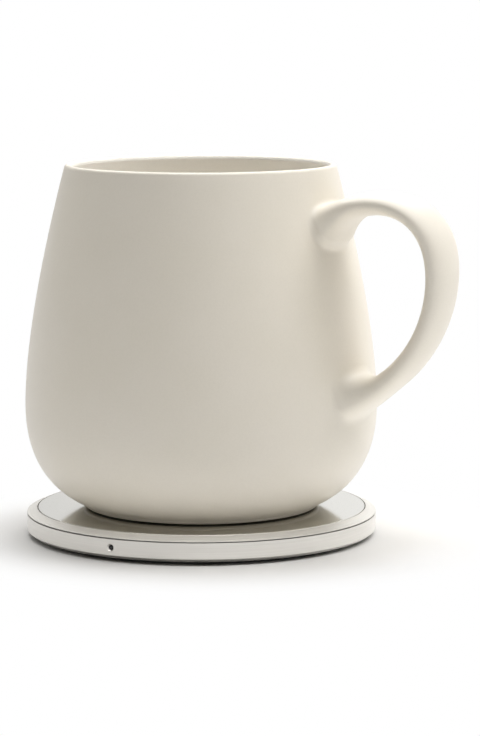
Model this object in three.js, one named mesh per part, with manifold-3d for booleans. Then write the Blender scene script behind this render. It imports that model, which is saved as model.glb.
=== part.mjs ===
import * as THREE from 'three';
import { mergeVertices } from 'three/addons/utils/BufferGeometryUtils.js';
import Module from 'manifold-3d';

// A self heating mug standing on its round heating pad. Millimetres, +Z up.
// The origin is the centre of the pad's underside on the table. The handle points along +X,
// the pad's indicator faces -Y and its charging inlet faces +Y.

const wasm = await Module();
wasm.setup();

// Clearances and cuts
const seatGap = 0.1; // between pieces stacked on each other
const fitGap = 0.2; // around a piece that drops into another
const overrun = 1; // how far a cutting solid passes the face that it cuts
const rootSink = 0.3; // how far a boss or tab reaches into what carries it

// Pad casing
const padRadius = 48;
const padHeight = 7.7;
const matThick = 0.8;
const matInset = 3.2;
const basePlateThick = 1;
const wallThick = 2.4;
const wallHeight = 4.3; // straight part of the wall, above its lower chamfer
const wallChamferWidth = 1.1;
const wallChamferHeight = 0.9;
const seamGap = 0.25;
const rebateWidth = 1;
const rebateHeight = 0.6;
const bezelWidth = 2.8;
const bezelEdge = 0.15;
const bezelShoulder = 0.3;
const ledgeWidth = 1.8;
const panelThick = 1;
const panelChamfer = 0.15;
const sealThick = 0.3;

// Base screws and the lugs that take them
const screwCount = 4;
const screwInset = 3.4; // from the inside of the wall to the screws' circle
const screwShaftRadius = 0.9;
const screwHeadRadius = 1.8;
const screwHeadHeight = 0.8;
const screwLength = 3.6;
const screwSlotWidth = 0.5;
const screwSlotDepth = 0.4;
const lugRadius = 2.4;

// Pad coil and its tray
const trayWall = 1;
const trayFloorThick = 1;
const trayFootRadius = 3;
const padCoilThick = 1.5;
const padCoilHoleRadius = 9;
const padCoilRound = 0.4;
const ferritePlateThick = 0.9;
const thermistorRadius = 1.8;

// Control board and what is soldered to it
const boardThick = 0.8;
const boardWidth = 11.4;
const lugClearance = 1;
const partRowAngle = 180; // the middle of the row of parts, between the inlet and the indicator
const partSpacing = 2.6;
const controllerSide = 6;
const controllerHeight = 1;
const transistorCount = 4;
const transistorSide = 3.3;
const transistorHeight = 1;
const resonatorCount = 4;
const resonatorLength = 5;
const resonatorWidth = 5.7;
const resonatorHeight = 2.4;
const inductorSide = 7;
const inductorHeight = 2.8;
const inductorCorner = 1.2;
const inductorAngle = 35;

// Indicator
const ledDrop = 0.15; // how far the indicator sits below the middle of the wall
const ledWidth = 2;
const ledDepth = 1;
const ledHeight = 1.7;
const ledTabWidth = 4;
const lensRadius = 0.6;
const lensRecess = 0.25;
const lensFlangeRadius = 1;
const lensFlangeThick = 0.3;

// Charging inlet, a standard USB-C receptacle
const inletWidth = 8.94;
const inletHeight = 3.16;
const inletLength = 7.3;
const inletWallThick = 0.3;
const inletCorner = 1.4;
const inletRecess = 0.5;
const tongueWidth = 6.7;
const tongueThick = 0.7;
const tongueLength = 4.5;
const tongueBlockDepth = 1.5;
const inletTabWidth = 11;

// Mug body
const mugHeight = 93.9;
const bellyRadius = 48.2;
const bellyHeight = 28;
const bellyDrop = 20.4; // length of the outline's lower tangent at the belly
const bellyRise = 19.1; // length of its upper tangent there
const footRadius = 31.9;
const footEdge = 0.75; // the short upright edge that the belly runs down to
const footDraft = 0.3; // how far that edge leans in
const footSlope = 26;
const footSweep = 3.4; // length of the outline's tangent at the foot
const lipRadius = 37.1;
const lipThick = 2.2;
const lipReach = 18;
const lipLean = 14.8;
const bodyWall = 3.8;
const cupFloorHeight = 12.2;
const cupFloorThick = 3.5;
const cupFloorRadius = 25;
const cupFloorReach = 11;
const cupBellyDrop = 17;
const cupBellyRise = 17;

// Handle, an oval strap that is broadest at its shoulder and swells into the body at both roots
const handleReach = 75.9; // from the mug's axis to the strap's outer face
const handleApexHeight = 66.9;
const handleThick = 6.1;
const handleTopWidth = 15.8;
const handleShoulderWidth = 18.6;
const handleApexWidth = 15.6;
const handleGripWidth = 12.6;
const handleBottomWidth = 12.4;
const handleWidthShares = [0, 0.25, 0.48, 0.74, 1]; // where these widths lie along the strap
const handleTopHeight = 79.7;
const handleTopAngle = 31.5;
const handleTopReach = 19.1;
const handleApexRise = 19.2;
const handleApexDrop = 13.7;
const handleBottomHeight = 32.3;
const handleBottomAngle = 16.6;
const handleBottomReach = 18.6;
const handleRootDepth = 2;
const handleRootTail = 1.5; // how far the strap's ends run on inside the wall
const flareLength = 10;
const flareTopSide = 2.2;
const flareLowSide = 2.8;
const flareOuter = 1;
const flareInner = 3;

// Foot of the mug and the heater that it holds
const footRingProud = 0.25;
const grooveInnerRadius = 28.6;
const grooveOuterRadius = 31.3;
const grooveDepth = 0.9;
const recessRadius = 27.6;
const coverThick = 1.2;
const coverSealWidth = 1.6;
const coverSealThick = 1;
const receiverCoilThick = 1.2;
const receiverCoilHoleRadius = 8;
const receiverCoilRound = 0.3;
const ferriteShieldThick = 0.6;
const receiverBoardThick = 0.7;
const partHeadroom = 1; // room above the receiver board for its parts
const rectifierSide = 5;
const rectifierHeight = 0.8;
const rectifierAngle = 90;
const smoothingCount = 2;
const smoothingLength = 3.2;
const smoothingWidth = 2.5;
const smoothingHeight = 0.8;
const smoothingFirstAngle = 225;
const smoothingStep = 90;
const boardPartCircle = 15;
const heaterThick = 0.4;
const spreaderThick = 0.8;
const sensorRadius = 1.5;

// Counts
const roundSteps = 56;
const innerSteps = 32;
const pinSteps = 12;
const bodySteps = 7;
const cupSteps = 5;
const lipSteps = 3;
const coilSteps = 1;
const cornerSteps = 2;
const strapSteps = 13;
const sectionSteps = 14;

// Levels of the pad, from the table up
const baseBottom = matThick + seatGap;
const baseTop = baseBottom + basePlateThick;
const wallBottom = baseBottom + wallChamferHeight;
const seamHeight = wallBottom + wallHeight;
const wallMiddle = (wallBottom + seamHeight) / 2;
const rebateFloor = seamHeight - rebateHeight;
const bezelBottom = seamHeight + seamGap;
const spigotBottom = rebateFloor + seatGap;
const panelBottom = padHeight - panelThick;
const panelSealTop = panelBottom - seatGap;
const ledgeHeight = panelSealTop - sealThick - seatGap;
const padFloor = baseTop + seatGap;
const padCoilTop = panelBottom - fitGap;
const padCoilBottom = padCoilTop - padCoilThick;
const ferriteTop = padCoilBottom - seatGap;
const ferriteBottom = ferriteTop - ferritePlateThick;
const trayFloorTop = ferriteBottom - seatGap;
const trayFloorBottom = trayFloorTop - trayFloorThick;
const boardTop = padFloor + boardThick;
const partSeat = boardTop + seatGap;
const ledLevel = wallMiddle - ledDrop;

// Radii of the pad
const wallInner = padRadius - wallThick;
const rebateRadius = wallInner + rebateWidth;
const spigotRadius = rebateRadius - fitGap;
const panelOpening = padRadius - bezelWidth;
const ledgeInner = panelOpening - ledgeWidth;
const screwCircleRadius = wallInner - screwInset;
const boardOuter = screwCircleRadius - lugRadius - lugClearance;
const boardInner = boardOuter - boardWidth;
const boardMiddle = (boardInner + boardOuter) / 2;
const trayRadius = boardInner - fitGap;

// Levels of the mug, from the face that it stands on
const ceramicBottom = footRingProud;
const coverBottom = ceramicBottom + seatGap;
const coverTop = coverBottom + coverThick;
const receiverCoilBottom = coverTop + seatGap;
const receiverCoilTop = receiverCoilBottom + receiverCoilThick;
const shieldBottom = receiverCoilTop + seatGap;
const shieldTop = shieldBottom + ferriteShieldThick;
const receiverBoardBottom = shieldTop + seatGap;
const receiverBoardTop = receiverBoardBottom + receiverBoardThick;
const receiverPartSeat = receiverBoardTop + seatGap;
const insulationBottom = receiverBoardTop + partHeadroom;
const recessTop = cupFloorHeight - cupFloorThick;
const spreaderTop = recessTop - seatGap;
const spreaderBottom = spreaderTop - spreaderThick;
const heaterTop = spreaderBottom - seatGap;
const heaterBottom = heaterTop - heaterThick;
const insulationTop = heaterBottom - seatGap;
const lipLevel = mugHeight - lipThick / 2;
const stackRadius = recessRadius - fitGap - coverSealWidth - fitGap;

const finishes = {
  ceramic: new THREE.MeshStandardMaterial({ color: '#ded7ca', roughness: 0.75, metalness: 0 }),
  aluminium: new THREE.MeshStandardMaterial({ color: '#d3d1cc', roughness: 0.35, metalness: 1 }),
  panel: new THREE.MeshStandardMaterial({ color: '#c9c8c2', roughness: 0.15, metalness: 0.3 }),
  silicone: new THREE.MeshStandardMaterial({ color: '#2b2a28', roughness: 0.9, metalness: 0 }),
  lens: new THREE.MeshStandardMaterial({ color: '#0c0c0c', roughness: 0.2, metalness: 0 }),
  plastic: new THREE.MeshStandardMaterial({ color: '#4a4a48', roughness: 0.6, metalness: 0 }),
  board: new THREE.MeshStandardMaterial({ color: '#1f5c3a', roughness: 0.5, metalness: 0 }),
  chip: new THREE.MeshStandardMaterial({ color: '#1b1b1d', roughness: 0.5, metalness: 0 }),
  copper: new THREE.MeshStandardMaterial({ color: '#b8693a', roughness: 0.4, metalness: 1 }),
  ferrite: new THREE.MeshStandardMaterial({ color: '#35322f', roughness: 0.8, metalness: 0.2 }),
  foam: new THREE.MeshStandardMaterial({ color: '#cfc9ba', roughness: 1, metalness: 0 }),
  film: new THREE.MeshStandardMaterial({ color: '#c27a2c', roughness: 0.4, metalness: 0.1 }),
  steel: new THREE.MeshStandardMaterial({ color: '#a9abad', roughness: 0.3, metalness: 1 }),
};

const radians = THREE.MathUtils.degToRad;
const point = (x, y) => new THREE.Vector2(x, y);

// The point that lies a distance ahead of another, at an angle above the horizontal.
function ahead(from, distance, angle) {
  return point(from.x + distance * Math.cos(radians(angle)), from.y + distance * Math.sin(radians(angle)));
}

// A closed outline (radius, height) turned about the Z axis.
function turned(outline, steps = roundSteps) {
  const closed = outline[0].x === 0 ? outline : [...outline, outline[0].clone()];
  return new THREE.LatheGeometry(closed, steps).rotateX(Math.PI / 2);
}

// The outline of a ring with square edges. An inner radius of zero makes a disc.
function ringOutline(inner, outer, bottom, top) {
  return [point(inner, bottom), point(outer, bottom), point(outer, top), point(inner, top)];
}

// The same outline with rounded edges, as on a wound coil.
function roundedRingOutline(inner, outer, bottom, top, round) {
  const corners = [
    [outer - round, bottom + round, -90],
    [outer - round, top - round, 0],
    [inner + round, top - round, 90],
    [inner + round, bottom + round, 180],
  ];
  return corners.flatMap(([x, y, start]) => arc(x, y, round, start, start + 90, coilSteps));
}

function arc(x, y, radius, fromAngle, toAngle, steps) {
  const points = [];
  for (let i = 0; i <= steps; i += 1) {
    const angle = radians(fromAngle + ((toAngle - fromAngle) * i) / steps);
    points.push(point(x + radius * Math.cos(angle), y + radius * Math.sin(angle)));
  }
  return points;
}

function roundedRectangle(width, height, corner) {
  const shape = new THREE.Shape();
  const x = width / 2 - corner;
  const y = height / 2 - corner;
  shape.absarc(x, y, corner, 0, Math.PI / 2);
  shape.absarc(-x, y, corner, Math.PI / 2, Math.PI);
  shape.absarc(-x, -y, corner, Math.PI, 1.5 * Math.PI);
  shape.absarc(x, -y, corner, 1.5 * Math.PI, 2 * Math.PI);
  return shape;
}

function block(width, depth, bottom, top) {
  return new THREE.BoxGeometry(width, depth, top - bottom).translate(0, 0, (bottom + top) / 2);
}

// A post along Z from bottom to top.
function post(radius, bottom, top) {
  return turned(ringOutline(0, radius, bottom, top), pinSteps);
}

function placed(geometry, radius, angle) {
  return geometry.translate(radius, 0, 0).rotateZ(radians(angle));
}

function toSolid(geometry) {
  const bare = geometry.clone();
  bare.deleteAttribute('normal');
  bare.deleteAttribute('uv');
  const merged = mergeVertices(bare);
  const index = Array.from(merged.index.array);
  const kept = [];
  for (let i = 0; i < index.length; i += 3) {
    const [a, b, c] = index.slice(i, i + 3);
    if (a !== b && b !== c && c !== a) kept.push(a, b, c);
  }
  const vertProperties = new Float32Array(merged.attributes.position.array);
  return new wasm.Manifold(new wasm.Mesh({ numProp: 3, vertProperties, triVerts: new Uint32Array(kept) }));
}

function toGeometry(solid) {
  const mesh = solid.getMesh();
  const geometry = new THREE.BufferGeometry();
  geometry.setAttribute('position', new THREE.BufferAttribute(mesh.vertProperties, 3));
  geometry.setIndex(new THREE.BufferAttribute(mesh.triVerts, 1));
  geometry.computeVertexNormals();
  return geometry;
}

function build(base, joined, cut) {
  let solid = toSolid(base);
  for (const piece of joined) solid = solid.add(toSolid(piece));
  for (const piece of cut) solid = solid.subtract(toSolid(piece));
  return toGeometry(solid);
}

function addPiece(group, name, geometry, finish) {
  const mesh = new THREE.Mesh(geometry, finishes[finish].clone());
  mesh.name = name;
  group.add(mesh);
}

// Angles of the lugs, between the inlet and the indicator.
function lugAngles() {
  const angles = [];
  for (let i = 0; i < screwCount; i += 1) angles.push(180 / screwCount + (360 * i) / screwCount);
  return angles;
}

function inletOpening(depth) {
  const shape = roundedRectangle(inletWidth + 2 * fitGap, inletHeight + 2 * fitGap, inletCorner + fitGap);
  const cut = new THREE.ExtrudeGeometry(shape, { depth, bevelEnabled: false, curveSegments: cornerSteps });
  return cut.rotateX(Math.PI / 2).translate(0, padRadius + overrun, wallMiddle);
}

// Solid of a pin that lies along Y, from one distance in front of the axis to another.
function pinAlongY(radius, from, to, level) {
  const pin = new THREE.CylinderGeometry(radius, radius, to - from, pinSteps);
  return pin.translate(0, -(from + to) / 2, level);
}

function sideRing() {
  const wall = turned([
    point(wallInner, baseBottom),
    point(padRadius - wallChamferWidth, baseBottom),
    point(padRadius, wallBottom),
    point(padRadius, seamHeight),
    point(rebateRadius, seamHeight),
    point(rebateRadius, rebateFloor),
    point(wallInner, rebateFloor),
  ]);
  const lugs = [];
  const holes = [];
  const webLength = wallInner + rootSink - screwCircleRadius;
  const holeTop = baseBottom + seatGap + screwLength + seatGap;
  for (const angle of lugAngles()) {
    const web = block(webLength, 2 * lugRadius, padFloor, rebateFloor);
    lugs.push(placed(web, screwCircleRadius + webLength / 2, angle));
    lugs.push(placed(post(lugRadius, padFloor, rebateFloor), screwCircleRadius, angle));
    const hole = post(screwShaftRadius + seatGap, padFloor - overrun, holeTop);
    holes.push(placed(hole, screwCircleRadius, angle));
  }
  const lensHole = pinAlongY(lensRadius + seatGap, wallInner - overrun, padRadius + overrun, ledLevel);
  return build(wall, lugs, [...holes, lensHole, inletOpening(wallThick + 2 * overrun)]);
}

function topBezel() {
  const ring = turned([
    point(ledgeInner, spigotBottom),
    point(spigotRadius, spigotBottom),
    point(spigotRadius, bezelBottom),
    point(padRadius, bezelBottom),
    point(padRadius, bezelBottom + bezelEdge),
    point(panelOpening + bezelShoulder, padHeight - bezelEdge),
    point(panelOpening, padHeight),
    point(panelOpening, ledgeHeight),
    point(ledgeInner, ledgeHeight),
  ]);
  const notchTop = wallMiddle + inletHeight / 2 + fitGap;
  const notchLength = spigotRadius + overrun - (ledgeInner - overrun);
  const notch = block(inletWidth + 2 * fitGap, notchLength, spigotBottom - overrun, notchTop);
  return build(ring, [], [notch.translate(0, ledgeInner - overrun + notchLength / 2, 0)]);
}

function topPanel() {
  const radius = panelOpening - fitGap;
  return turned([
    point(0, panelBottom),
    point(radius, panelBottom),
    point(radius, padHeight - panelChamfer),
    point(radius - panelChamfer, padHeight),
    point(0, padHeight),
  ]);
}

function basePlate() {
  const holes = lugAngles().map((angle) => {
    const mouth = screwHeadRadius + fitGap;
    const neck = screwShaftRadius + fitGap;
    const outline = [
      point(0, baseBottom - overrun),
      point(mouth, baseBottom - overrun),
      point(mouth, baseBottom + seatGap),
      point(neck, baseBottom + screwHeadHeight + seatGap),
      point(neck, baseTop + overrun),
      point(0, baseTop + overrun),
    ];
    return placed(turned(outline, pinSteps), screwCircleRadius, angle);
  });
  return build(turned(ringOutline(0, wallInner - fitGap, baseBottom, baseTop)), [], holes);
}

function baseScrew(angle) {
  const bottom = baseBottom + seatGap;
  const outline = [
    point(0, bottom),
    point(screwHeadRadius, bottom),
    point(screwShaftRadius, bottom + screwHeadHeight),
    point(screwShaftRadius, bottom + screwLength),
    point(0, bottom + screwLength),
  ];
  const slotLength = 2 * screwShaftRadius;
  const slots = [
    block(slotLength, screwSlotWidth, bottom - overrun, bottom + screwSlotDepth),
    block(screwSlotWidth, slotLength, bottom - overrun, bottom + screwSlotDepth),
  ];
  return placed(build(turned(outline, pinSteps), [], slots), screwCircleRadius, angle);
}

function coilTray() {
  const inner = trayRadius - trayWall;
  return turned([
    point(0, padFloor),
    point(trayFootRadius, padFloor),
    point(trayFootRadius, trayFloorBottom),
    point(inner, trayFloorBottom),
    point(inner, padFloor),
    point(trayRadius, padFloor),
    point(trayRadius, padCoilTop),
    point(inner, padCoilTop),
    point(inner, trayFloorTop),
    point(0, trayFloorTop),
  ], innerSteps);
}

function controlBoard() {
  const ring = turned(ringOutline(boardInner, boardOuter, padFloor, boardTop), innerSteps);
  const rootRadius = boardMiddle;
  const tab = (width, reach) => {
    const length = reach - rootRadius;
    return block(width, length, padFloor, boardTop).translate(0, rootRadius + length / 2, 0);
  };
  const ledTab = tab(ledTabWidth, wallInner - 2 * fitGap).rotateZ(Math.PI);
  const inletTab = tab(inletTabWidth, padRadius - inletRecess - inletLength - seatGap);
  return build(ring, [ledTab, inletTab], []);
}

// The chips and capacitors of the board: length lies along the radius, width along the row.
function boardParts() {
  const controller = { length: controllerSide, width: controllerSide, height: controllerHeight };
  const transistor = { length: transistorSide, width: transistorSide, height: transistorHeight };
  const resonator = { length: resonatorLength, width: resonatorWidth, height: resonatorHeight };
  const parts = [{ ...controller, name: 'charge_controller', finish: 'chip' }];
  for (let i = 1; i <= transistorCount; i += 1) {
    parts.push({ ...transistor, name: `bridge_transistor_${i}`, finish: 'chip' });
  }
  for (let i = 1; i <= resonatorCount; i += 1) {
    parts.push({ ...resonator, name: `resonant_capacitor_${i}`, finish: 'film' });
  }
  return parts;
}

// Sets the parts side by side along the board's middle circle.
function addBoardParts(pad) {
  const parts = boardParts();
  const rowLength = parts.reduce((sum, part) => sum + part.width + partSpacing, -partSpacing);
  let start = -rowLength / 2;
  for (const { name, finish, length, width, height } of parts) {
    const turn = THREE.MathUtils.radToDeg((start + width / 2) / boardMiddle);
    const body = block(length, width, partSeat, partSeat + height);
    addPiece(pad, name, placed(body, boardMiddle, partRowAngle + turn), finish);
    start += width + partSpacing;
  }
}

function powerInductor() {
  const shape = roundedRectangle(inductorSide, inductorSide, inductorCorner);
  const options = { depth: inductorHeight, bevelEnabled: false, curveSegments: cornerSteps };
  const core = new THREE.ExtrudeGeometry(shape, options).translate(0, 0, partSeat);
  return placed(core, boardMiddle, inductorAngle);
}

function lightPipe() {
  const flangeFace = wallInner - seatGap;
  const pin = pinAlongY(lensRadius, flangeFace - lensFlangeThick, padRadius - lensRecess, ledLevel);
  const flange = pinAlongY(lensFlangeRadius, flangeFace - lensFlangeThick, flangeFace, ledLevel);
  return build(pin, [flange], []);
}

function statusLed() {
  const face = wallInner - seatGap - lensFlangeThick - seatGap;
  return block(ledWidth, ledDepth, partSeat, partSeat + ledHeight).translate(0, -(face - ledDepth / 2), 0);
}

function inletShell() {
  const shape = roundedRectangle(inletWidth, inletHeight, inletCorner);
  const bore = roundedRectangle(
    inletWidth - 2 * inletWallThick,
    inletHeight - 2 * inletWallThick,
    inletCorner - inletWallThick,
  );
  shape.holes.push(bore);
  const options = { depth: inletLength, bevelEnabled: false, curveSegments: cornerSteps };
  const shell = new THREE.ExtrudeGeometry(shape, options);
  return shell.rotateX(Math.PI / 2).translate(0, padRadius - inletRecess, wallMiddle);
}

function inletTongue() {
  const rear = padRadius - inletRecess - inletLength;
  const inside = inletWallThick + seatGap;
  const plug = roundedRectangle(inletWidth - 2 * inside, inletHeight - 2 * inside, inletCorner - inside);
  const options = { depth: tongueBlockDepth, bevelEnabled: false, curveSegments: cornerSteps };
  const plugBody = new THREE.ExtrudeGeometry(plug, options).rotateX(Math.PI / 2);
  plugBody.translate(0, rear + tongueBlockDepth, wallMiddle);
  const bladeLength = tongueLength + rootSink;
  const bladeFrom = rear + tongueBlockDepth - rootSink;
  const blade = new THREE.BoxGeometry(tongueWidth, bladeLength, tongueThick);
  blade.translate(0, bladeFrom + bladeLength / 2, wallMiddle);
  return build(plugBody, [blade], []);
}

function padGroup() {
  const pad = new THREE.Group();
  addPiece(pad, 'base_mat', turned(ringOutline(0, padRadius - matInset, 0, matThick)), 'silicone');
  addPiece(pad, 'base_plate', basePlate(), 'aluminium');
  addPiece(pad, 'side_ring', sideRing(), 'aluminium');
  addPiece(pad, 'top_bezel', topBezel(), 'aluminium');
  addPiece(pad, 'top_panel', topPanel(), 'panel');
  const sealBottom = panelSealTop - sealThick;
  const sealOutline = ringOutline(ledgeInner, panelOpening - fitGap, sealBottom, panelSealTop);
  addPiece(pad, 'panel_seal', turned(sealOutline), 'silicone');
  lugAngles().forEach((angle, i) => addPiece(pad, `base_screw_${i + 1}`, baseScrew(angle), 'steel'));

  const trayInner = trayRadius - trayWall - fitGap;
  addPiece(pad, 'coil_tray', coilTray(), 'plastic');
  const plateOutline = ringOutline(0, trayInner, ferriteBottom, ferriteTop);
  addPiece(pad, 'ferrite_plate', turned(plateOutline, innerSteps), 'ferrite');
  const coilOutline = roundedRingOutline(
    padCoilHoleRadius,
    trayInner,
    padCoilBottom,
    padCoilTop,
    padCoilRound,
  );
  addPiece(pad, 'transmitter_coil', turned(coilOutline, innerSteps), 'copper');
  addPiece(pad, 'coil_thermistor', post(thermistorRadius, padCoilBottom, panelBottom - seatGap), 'chip');

  addPiece(pad, 'control_board', controlBoard(), 'board');
  addBoardParts(pad);
  addPiece(pad, 'power_inductor', powerInductor(), 'ferrite');
  addPiece(pad, 'status_led', statusLed(), 'lens');
  addPiece(pad, 'light_pipe', lightPipe(), 'lens');
  addPiece(pad, 'inlet_shell', inletShell(), 'steel');
  addPiece(pad, 'inlet_tongue', inletTongue(), 'chip');
  return pad;
}

// The outside of the mug from its foot to the lip, as (radius, height).
function bodyOutline() {
  const foot = point(footRadius, ceramicBottom + footEdge);
  const belly = point(bellyRadius, bellyHeight);
  const lip = point(lipRadius, lipLevel);
  const lean = radians(lipLean);
  const lower = new THREE.CubicBezierCurve(
    foot,
    ahead(foot, footSweep, footSlope),
    point(bellyRadius, bellyHeight - bellyDrop),
    belly,
  );
  const upper = new THREE.CubicBezierCurve(
    belly,
    point(bellyRadius, bellyHeight + bellyRise),
    point(lipRadius + lipReach * Math.sin(lean), lipLevel - lipReach * Math.cos(lean)),
    lip,
  );
  return [...lower.getPoints(bodySteps), ...upper.getPoints(bodySteps).slice(1)];
}

// The inside of the cup from the middle of its floor to the lip.
function cupOutline() {
  const innerBelly = point(bellyRadius - bodyWall, bellyHeight);
  const innerLip = point(lipRadius - lipThick, lipLevel);
  const lean = radians(lipLean);
  const lower = new THREE.CubicBezierCurve(
    point(cupFloorRadius, cupFloorHeight),
    point(cupFloorRadius + cupFloorReach, cupFloorHeight),
    point(innerBelly.x, bellyHeight - cupBellyDrop),
    innerBelly,
  );
  const upper = new THREE.CubicBezierCurve(
    innerBelly,
    point(innerBelly.x, bellyHeight + cupBellyRise),
    point(innerLip.x + lipReach * Math.sin(lean), lipLevel - lipReach * Math.cos(lean)),
    innerLip,
  );
  return [...lower.getPoints(cupSteps), ...upper.getPoints(cupSteps).slice(1)];
}

// Radius of an outline at a height.
function radiusAt(outline, height) {
  for (let i = 1; i < outline.length; i += 1) {
    const [low, high] = [outline[i - 1], outline[i]];
    if (height <= high.y) {
      const share = (height - low.y) / (high.y - low.y);
      return THREE.MathUtils.lerp(low.x, high.x, THREE.MathUtils.clamp(share, 0, 1));
    }
  }
  return outline[outline.length - 1].x;
}

// The strap's middle line, from its upper root over the far side to its lower root.
function strapPath(outline) {
  const apexRadius = handleReach - handleThick / 2;
  const root = (height) => point(radiusAt(outline, height) - handleRootDepth, height);
  const top = root(handleTopHeight);
  const bottom = root(handleBottomHeight);
  const path = new THREE.CurvePath();
  path.add(new THREE.CubicBezierCurve(
    top,
    ahead(top, handleTopReach, handleTopAngle),
    point(apexRadius, handleApexHeight + handleApexRise),
    point(apexRadius, handleApexHeight),
  ));
  path.add(new THREE.CubicBezierCurve(
    point(apexRadius, handleApexHeight),
    point(apexRadius, handleApexHeight - handleApexDrop),
    ahead(bottom, handleBottomReach, handleBottomAngle),
    bottom,
  ));
  return path;
}

// The strap's width at a share of its length.
function strapWidth(share) {
  const widths = [handleTopWidth, handleShoulderWidth, handleApexWidth, handleGripWidth, handleBottomWidth];
  const next = Math.max(1, handleWidthShares.findIndex((place) => place >= share));
  const [from, to] = [handleWidthShares[next - 1], handleWidthShares[next]];
  return THREE.MathUtils.lerp(widths[next - 1], widths[next], (share - from) / (to - from));
}

// One oval ring of the strap. Near the body its inner face swells more than its outer one.
function strapRing(outline, path, share, shift) {
  const middle = path.getPoint(share);
  const along = path.getTangent(share);
  const outOfBody = middle.x - radiusAt(outline, middle.y);
  const flare = THREE.MathUtils.clamp(1 - outOfBody / flareLength, 0, 1) ** 2;
  const side = share < 0.5 ? flareTopSide : flareLowSide;
  const halfWidth = strapWidth(share) / 2 + side * flare;
  const outer = handleThick / 2 + flareOuter * flare;
  const inner = handleThick / 2 + flareInner * flare;
  const oval = new THREE.EllipseCurve((outer - inner) / 2, 0, (outer + inner) / 2, halfWidth);
  const section = oval.getPoints(sectionSteps).slice(1);
  return section.map(({ x, y }) => new THREE.Vector3(
    middle.x + along.x * shift - along.y * x,
    y,
    middle.y + along.y * shift + along.x * x,
  ));
}

function strap(outline) {
  const path = strapPath(outline);
  const rings = [strapRing(outline, path, 0, -handleRootTail)];
  for (let i = 0; i <= 2 * strapSteps; i += 1) {
    rings.push(strapRing(outline, path, i / (2 * strapSteps), 0));
  }
  rings.push(strapRing(outline, path, 1, handleRootTail));
  return loft(rings);
}

// A closed body through rings of equal point counts, with a fan over each end.
function loft(rings) {
  const count = rings[0].length;
  const centre = (ring) => ring.reduce((sum, p) => sum.add(p), new THREE.Vector3()).divideScalar(count);
  const points = [...rings.flat(), centre(rings[0]), centre(rings[rings.length - 1])];
  const firstCentre = rings.length * count;
  const lastRing = (rings.length - 1) * count;
  const index = [];
  for (let k = 0; k < count; k += 1) {
    const next = (k + 1) % count;
    for (let i = 0; i < rings.length - 1; i += 1) {
      const [a, b] = [i * count + k, i * count + next];
      index.push(a, a + count, b, b, a + count, b + count);
    }
    index.push(firstCentre, k, next);
    index.push(firstCentre + 1, lastRing + next, lastRing + k);
  }
  const geometry = new THREE.BufferGeometry().setFromPoints(points);
  geometry.setIndex(index);
  return geometry;
}

function mugBody() {
  const outline = bodyOutline();
  const crest = lipRadius - lipThick / 2;
  const vessel = turned([
    point(0, ceramicBottom),
    point(footRadius - footDraft, ceramicBottom),
    ...outline,
    ...arc(crest, lipLevel, lipThick / 2, 0, 90, lipSteps).slice(1),
    point(0, mugHeight),
  ]);
  const cup = turned([
    point(0, cupFloorHeight),
    ...cupOutline(),
    ...arc(crest, lipLevel, lipThick / 2, 180, 90, lipSteps).slice(1),
    point(crest, mugHeight + overrun),
    point(0, mugHeight + overrun),
  ]);
  const cutBottom = ceramicBottom - overrun;
  const grooveTop = ceramicBottom + grooveDepth;
  const recess = turned(ringOutline(0, recessRadius, cutBottom, recessTop));
  const groove = turned(ringOutline(grooveInnerRadius, grooveOuterRadius, cutBottom, grooveTop));
  return build(vessel, [strap(outline)], [cup, recess, groove]);
}

// A disc of the heater stack, with a hole for the sensor.
function stackRing(bottom, top) {
  return turned(ringOutline(sensorRadius + fitGap, stackRadius, bottom, top), innerSteps);
}

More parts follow.
